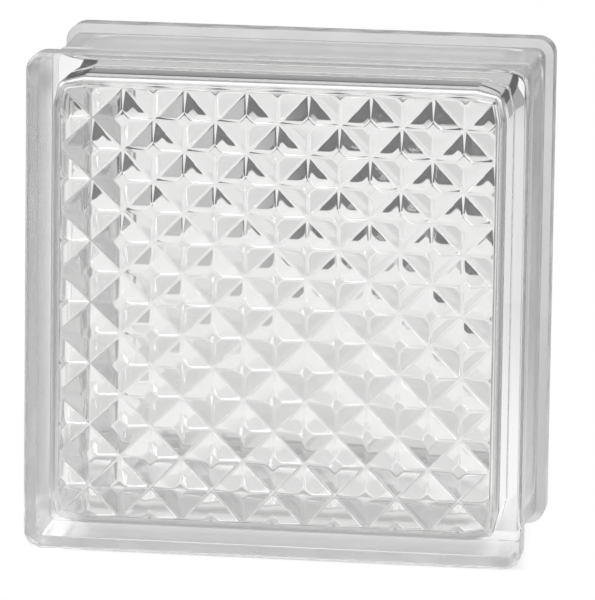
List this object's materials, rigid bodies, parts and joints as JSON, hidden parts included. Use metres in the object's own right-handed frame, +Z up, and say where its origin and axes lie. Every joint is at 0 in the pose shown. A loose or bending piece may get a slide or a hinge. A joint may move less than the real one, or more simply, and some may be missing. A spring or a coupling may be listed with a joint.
{
  "type": "glass block",
  "caption": "Hollow square glass block for mortared walls and windows, with smooth outer faces, a diamond pyramid pattern on the inner faces and a mortar channel around the edge.",
  "frame": {"origin": "middle of the block's bottom at floor level, the block standing on an edge", "axes": "+X across the face to the right seen from the front, +Y through the wall from the front face to the back face, +Z up"},
  "size_m": [0.1968, 0.0984, 0.1969],
  "materials": {
    "clear_glass": "polished faces, fire-finished edges"
  },
  "bodies": {
    "root": {"glass_block": "clear_glass"}
  },
  "joints": []
}
